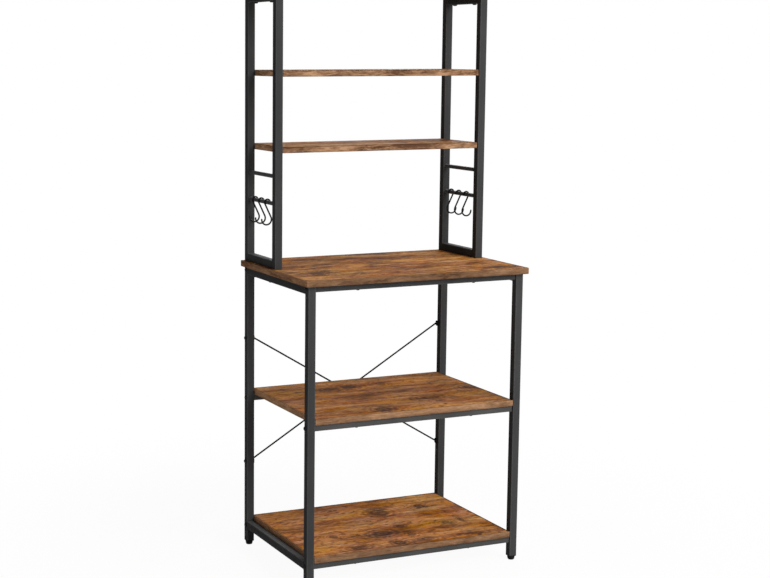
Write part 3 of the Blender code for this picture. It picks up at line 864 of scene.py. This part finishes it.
def sweptWire(line, look):
    # ring = point + radius * (cos a * N + sin a * (T x N)); the radius falls to 0 at the ends as a half sphere
    radius = look["wire"]
    distance = np.concatenate([[0.0], np.cumsum(np.linalg.norm(np.diff(line, axis=0), axis=1))])
    length = distance[-1]
    cap = radius * (1 - np.cos(np.linspace(0, quarter, look["tipSteps"])))
    middle = np.linspace(cap[-1], length - cap[-1], look["rings"])[1:-1]
    at = np.concatenate([cap, middle, length - cap[::-1]])

    def pointsAt(where):
        where = np.clip(where, 0, length)
        return np.stack([np.interp(where, distance, line[:, axis]) for axis in range(3)], -1)

    tangent = pointsAt(at + look["tangentReach"]) - pointsAt(at - look["tangentReach"])
    tangent /= np.linalg.norm(tangent, axis=1)[:, None]
    normal = np.broadcast_to((0.0, 1.0, 0.0), tangent.shape)
    other = np.cross(tangent, normal)
    edge = np.minimum(at, length - at)
    wide = radius * np.sqrt(np.clip(1 - (1 - np.minimum(edge / radius, 1)) ** 2, 0, 1))
    angle = circleAngles(look["steps"])
    ring = np.cos(angle)[None, :, None] * normal[:, None, :] + np.sin(angle)[None, :, None] * other[:, None, :]
    return pointsAt(at)[:, None, :] + wide[:, None, None] * ring


flatLine = hookLine(hookLook)
hookZ = rodLook["lift"]["lower"] + flatLine[:, 1]
for side, sign in sides.items():
    hookX = sign * rack["postX"] - sign * flatLine[:, 0]
    for index, y in enumerate(hookLook["places"]):
        line = np.stack([hookX, np.full(len(flatLine), y), hookZ], -1)
        node = f"s_hook_{side}_{index + 1}"
        piece = surfacePiece("wire_" + node, [(sweptWire(line, hookLook), 0, False, False)], [wire])
        register(piece, node + "_body", "hook_wire", node)
print("hooks made")


# levelling feet with their threads, and the inserts that they screw into

footLook = {
    "radius": 0.0095,
    "sole": 0.0082,
    "round": 0.0020,
    "topRound": 0.0008,
    "roundSteps": 7,
    "groove": ((0.62, 0.0001), (0.66, 0.0006), (0.72, 0.0006), (0.76, 0.0001)),
    "stud": 0.0040,
    "length": 0.028,
    "pitch": 0.00125,
    "depth": 0.0005,
    "runOut": 0.8,
    "turnRows": 6,
    "tip": 0.0012,
    "tipShare": 0.7,
    "steps": 36,
}
insertLook = {
    "gap": 0.0003,
    "flange": 0.0015,
    "flangeCorner": 0.0025,
    "ease": 0.0003,
    "play": 0.0006,
    "corner": 0.0013,
    "plug": 0.018,
    "boreGap": 0.0004,
    "ribs": 4,
    "firstRib": 0.0025,
    "ribStep": 0.004,
    "groove": 0.0006,
    "grooveCorner": 0.0010,
    "grooveRise": (0.0, 0.0004, 0.0016, 0.0022),
}


def threadGrid(look, start, end):
    # radius falls by depth times a triangle wave of (along / pitch - angle / full turn)
    pitch = look["pitch"]
    along = np.linspace(start, end, int((end - start) / pitch * look["turnRows"]))[:, None]
    angle = circleAngles(look["steps"])[None, :]
    phase = along / pitch - angle / (2 * np.pi)
    wave = np.abs(2 * (phase - np.floor(phase)) - 1)
    fade = np.clip(np.minimum(along - start, end - along) / (look["runOut"] * pitch), 0, 1)
    wide = look["stud"] - look["depth"] * wave * fade
    return np.stack([wide * np.cos(angle), wide * np.sin(angle), np.broadcast_to(along, wide.shape)], -1)


def footPatches(look, height):
    # turned pad with a quarter round at the sole and at the top, threaded stud and its tapered tip
    turns = np.linspace(0, quarter, look["roundSteps"])
    sole, low, radius, high = look["sole"], look["round"], look["radius"], look["topRound"]
    soleRound = [(sole - low * (1 - np.sin(t)), low * (1 - np.cos(t))) for t in turns]
    topRound = [(radius - high * (1 - np.cos(t)), height - high * (1 - np.sin(t))) for t in turns]
    groove = [(radius - depth, height * share) for share, depth in look["groove"]]
    stud = look["stud"]
    body = roundGrid([(0.0, 0.0), *soleRound, *groove, *topRound, (stud, height)], look["steps"])
    top = height + look["length"]
    tip = roundGrid([(stud, top - look["tip"]), (stud * look["tipShare"], top), (0.0, top)], look["steps"])
    return [body, threadGrid(look, height, top - look["tip"]), tip]


def ribbedInsert(look, base):
    # flange under the tube and a ribbed plug inside it: the plug's size steps in and out along its length
    size = tube - 2 * tubeLook["wall"] - look["play"]
    flange = squareRing(tube, tube, look["flangeCorner"])
    eased = squareRing(tube - 2 * look["ease"], tube - 2 * look["ease"], look["flangeCorner"] - look["ease"])
    full = squareRing(size, size, look["corner"])
    slim = squareRing(size - 2 * look["groove"], size - 2 * look["groove"], look["grooveCorner"])
    hole = arcPoints(footLook["stud"] + look["boreGap"], np.arctan2(flange[:, 1], flange[:, 0]))
    top = look["flange"] + look["plug"]
    rings = [(hole, 0.0), (eased, 0.0), (flange, look["ease"]), (flange, look["flange"]), (full, look["flange"])]
    for rib in range(look["ribs"]):
        z = look["flange"] + look["firstRib"] + rib * look["ribStep"]
        rings += [(ring, z + rise) for ring, rise in zip((full, slim, slim, full), look["grooveRise"])]
    return stackRings([*rings, (full, top), (hole, top)]) + base


for side, sign in sides.items():
    x = sign * rack["postX"]
    for row, y in postRows:
        grids = [grid + (x, y, 0.0) for grid in footPatches(footLook, rack["footHeight"])]
        node = f"levelling_foot_{row}_{side}"
        piece = surfacePiece("turned_" + node, [(grid, 0, False, False) for grid in grids], [plastic])
        register(piece, node + "_body", "black_plastic", node)
        insert = ribbedInsert(insertLook, (x, y, rack["footHeight"] + insertLook["gap"]))
        node = f"post_insert_{row}_{side}"
        piece = surfacePiece("moulded_" + node, [(insert, 0, True, False)], [plastic])
        register(piece, "rack", "black_plastic", node)
print("feet made")


# bolts and screws

boltShapes = {
    "rail": {"shank": 0.0030, "head": 0.0055, "height": 0.0038, "key": 0.0020, "length": 0.0255},
    "brace": {"shank": 0.0025, "head": 0.0050, "height": 0.0036, "key": 0.0016, "length": 0.0226},
    "base": {"shank": 0.0030, "head": 0.0055, "height": 0.0030, "key": 0.0020, "length": 0.0425},
    "screw": {"shank": 0.0020, "head": 0.0042, "height": 0.0022, "key": 0.0013, "length": 0.0250},
}
boltDetail = {
    "steps": 36,
    "domeTurn": 1.0,
    "domeSteps": 7,
    "rimShare": 0.25,
    "tip": 0.0012,
    "tipShare": 0.6,
    "seatShare": 0.97,
    "keyBevel": 1.12,
    "keyBevelDepth": 0.0001,
    "keyFloor": 0.35,
    "keyMiddle": 0.30,
}


def boltGrid(shape, look):
    # turned head and shank with a six-sided key hole: its radius is key / cos(angle from the flat's middle)
    angle = circleAngles(look["steps"])
    flat = (angle + np.pi / 6) % (np.pi / 3) - np.pi / 6
    keyRadius = shape["key"] / np.cos(flat)
    head, height, shank, length = shape["head"], shape["height"], shape["shank"], shape["length"]
    turns = np.linspace(0.0, look["domeTurn"], look["domeSteps"])
    rise = look["rimShare"] + (1 - look["rimShare"]) * np.sin(turns) / np.sin(look["domeTurn"])
    dome = np.stack([head * np.cos(turns), height * rise], -1)
    stem = [(0.0, -length), (shank * look["tipShare"], -length), (shank, -length + look["tip"]), (shank, 0.0)]
    body = roundGrid([*stem, (head * look["seatShare"], 0.0), *dome], look["steps"])
    keyRings = ((look["keyBevel"], height), (1.0, height - look["keyBevelDepth"]),
                (1.0, height * look["keyFloor"]), (0.0, height * look["keyMiddle"]))
    key = stackRings([(arcPoints(1.0, angle) * keyRadius[:, None] * wide, along) for wide, along in keyRings])
    return np.concatenate([body, key])


for side, sign in sides.items():
    for level, top in railLevels.items():
        for row, y in railRows:
            seat = (sign * rack["outerX"], y, top - railSize / 2)
            grid = aimed(boltGrid(boltShapes["rail"], boltDetail), outward[side], seat)
            node = f"rail_bolt_{level}_{row}_{side}"
            piece = surfacePiece("turned_" + node, [(grid, 0, False, False)], [boltSteel])
            register(piece, "rack", "bolt_steel", node)


def fastenerGroup(name, shape, seats):
    # one piece for a set of like fasteners: each seat is (place, direction that the head faces)
    grids = [(aimed(boltGrid(shape, boltDetail), direction, place), 0, False, False) for place, direction in seats]
    piece = surfacePiece(name, grids, [boltSteel])
    register(piece, "rack", "bolt_steel")


def postSeats(heights, places):
    # heads on the posts' outer sides, facing outwards
    return [((sign * rack["outerX"], y, z), outward[side])
            for side, sign in sides.items() for z in heights for y in places]


def hutchSeats(height):
    # heads under the bars that carry the hutch and its top shelf, facing down
    return [((sign * rack["postX"], y, height), "-z") for sign in sides.values() for y in rack["hutchScrewY"]]


shelfMiddles = [top - rack["boardThickness"] / 2 for top in rack["hutchTops"].values()]
underRails = [((x, y, top - railSize), "-z") for top in railLevels.values() for x in (-rack["screwX"], rack["screwX"])
              for _, y in railRows]
fastenerGroup("brace_bolts", boltShapes["brace"], postSeats(rack["braceBoltZ"], (rack["braceBoltY"],)))
fastenerGroup("hutch_shelf_screws", dict(boltShapes["screw"], length=0.042),
              postSeats(shelfMiddles, [y for _, y in hutchPostRows]))
fastenerGroup("shelf_and_worktop_screws", boltShapes["screw"], underRails)
fastenerGroup("hutch_base_bolts", boltShapes["base"], hutchSeats(under["worktop"] - tube))
fastenerGroup("top_shelf_screws", dict(boltShapes["base"], length=0.030), hutchSeats(rack["hutchTop"] - tube))
print("fasteners made")


# floor, light and camera

studio = {
    "floorSize": 16.0,
    "floorDrop": 0.0001,
    "floorColour": (0.85, 0.85, 0.85),
    "floorRoughness": 0.9,
    "floorSpecular": 0.1,
    "nearWhite": 0.95,
    "nearReach": 0.55,
    "farReach": 1.5,
    "fill": 0.16,
}


def seenDirectly(tree):
    # 1 for rays from the camera, or by way of a mirror or glass
    path = addNode(tree, "ShaderNodeLightPath").outputs
    seen = mathNode(tree, "MAXIMUM", path["Is Camera Ray"], path["Is Glossy Ray"])
    return mathNode(tree, "MAXIMUM", seen, path["Is Transmission Ray"])


def makeFloor(look):
    half = look["floorSize"] / 2
    mesh = bpy.data.meshes.new("floor")
    corners = [(x * half, y * half, -look["floorDrop"]) for x, y in ((-1, -1), (1, -1), (1, 1), (-1, 1))]
    mesh.from_pydata(corners, [], [(0, 1, 2, 3)])
    floor = bpy.data.objects.new("floor", mesh)
    bpy.context.scene.collection.objects.link(floor)
    material, shader = newMaterial("pale floor", look["floorColour"], look["floorRoughness"], look["floorSpecular"])
    tree = material.node_tree
    # the white share grows from the object outwards, so that the floor's far edge can't be told from the backdrop
    far = vectorNode(tree, "LENGTH", objectPlace(tree))["Value"]
    near = look["nearReach"]
    grown = mapNode(tree, far, near, look["farReach"], look["nearWhite"], 1.0, interpolation_type="SMOOTHSTEP")
    share = mathNode(tree, "MULTIPLY", seenDirectly(tree), grown)
    white = addNode(tree, "ShaderNodeEmission", {"Color": (1.0, 1.0, 1.0, 1.0), "Strength": 1.0}).outputs[0]
    mixed = addNode(tree, "ShaderNodeMixShader", {0: share, 1: shader.outputs[0], 2: white}).outputs[0]
    output = next(node for node in tree.nodes if node.type == "OUTPUT_MATERIAL")
    tree.links.new(mixed, output.inputs["Surface"])
    mesh.materials.append(material)


def makeWorld(look):
    world = bpy.data.worlds.new("studio")
    bpy.context.scene.world = world
    world.use_nodes = True
    tree = world.node_tree
    background = tree.nodes["Background"]
    background.inputs["Color"].default_value = (1.0, 1.0, 1.0, 1.0)
    strength = mathNode(tree, "MULTIPLY_ADD", seenDirectly(tree), 1.0 - look["fill"], look["fill"])
    tree.links.new(strength, background.inputs["Strength"])


lamps = {
    "key": {"place": (1.7, -3.9, 3.2), "size": 2.4, "power": 195.0},
    "low": {"place": (0.6, -4.6, 1.0), "size": 2.4, "power": 70.0},
    "top": {"place": (0.4, -0.4, 4.4), "size": 2.6, "power": 30.0},
    "back": {"place": (2.2, 3.4, 2.4), "size": 2.4, "power": 60.0},
}
lampTarget = (0.0, 0.0, 0.7)


def makeLamps(settings, target):
    # each lamp is turned so that its face looks at the target
    for name, lamp in settings.items():
        data = bpy.data.lights.new(name, "AREA")
        data.shape = "SQUARE"
        data.size = lamp["size"]
        data.energy = lamp["power"]
        light = bpy.data.objects.new(name, data)
        bpy.context.scene.collection.objects.link(light)
        light.location = lamp["place"]
        away = np.array(lamp["place"]) - np.array(target)
        flat = math.hypot(away[0], away[1])
        light.rotation_euler = (math.atan2(flat, away[2]), 0.0, math.atan2(away[0], -away[1]))


cameraLook = {
    "place": (-1.8071, -3.4130, 1.2672),
    "focalPixels": 1555.4,
    "yaw": 0.38906,
    "pitch": -0.13201,
    "middle": (231.0, 258.0),
    "frame": (770, 578),
    "sensor": 36.0,
    "clip": (0.05, 60.0),
}


def makeCamera(look):
    # the lens's middle lies off the frame's middle, so the camera is shifted by the difference in frame widths
    width, height = look["frame"]
    data = bpy.data.cameras.new("camera")
    data.sensor_width = look["sensor"]
    data.lens = look["focalPixels"] / width * data.sensor_width
    data.shift_x = (width / 2 - look["middle"][0]) / width
    data.shift_y = (look["middle"][1] - height / 2) / width
    data.clip_start, data.clip_end = look["clip"]
    camera = bpy.data.objects.new("camera", data)
    bpy.context.scene.collection.objects.link(camera)
    camera.location = look["place"]
    camera.rotation_euler = (math.pi / 2 + look["pitch"], 0.0, -look["yaw"])
    bpy.context.scene.camera = camera


makeFloor(studio)
makeWorld(studio)
makeLamps(lamps, lampTarget)
makeCamera(cameraLook)
bpy.context.scene.view_settings.view_transform = "Standard"
print("studio made")
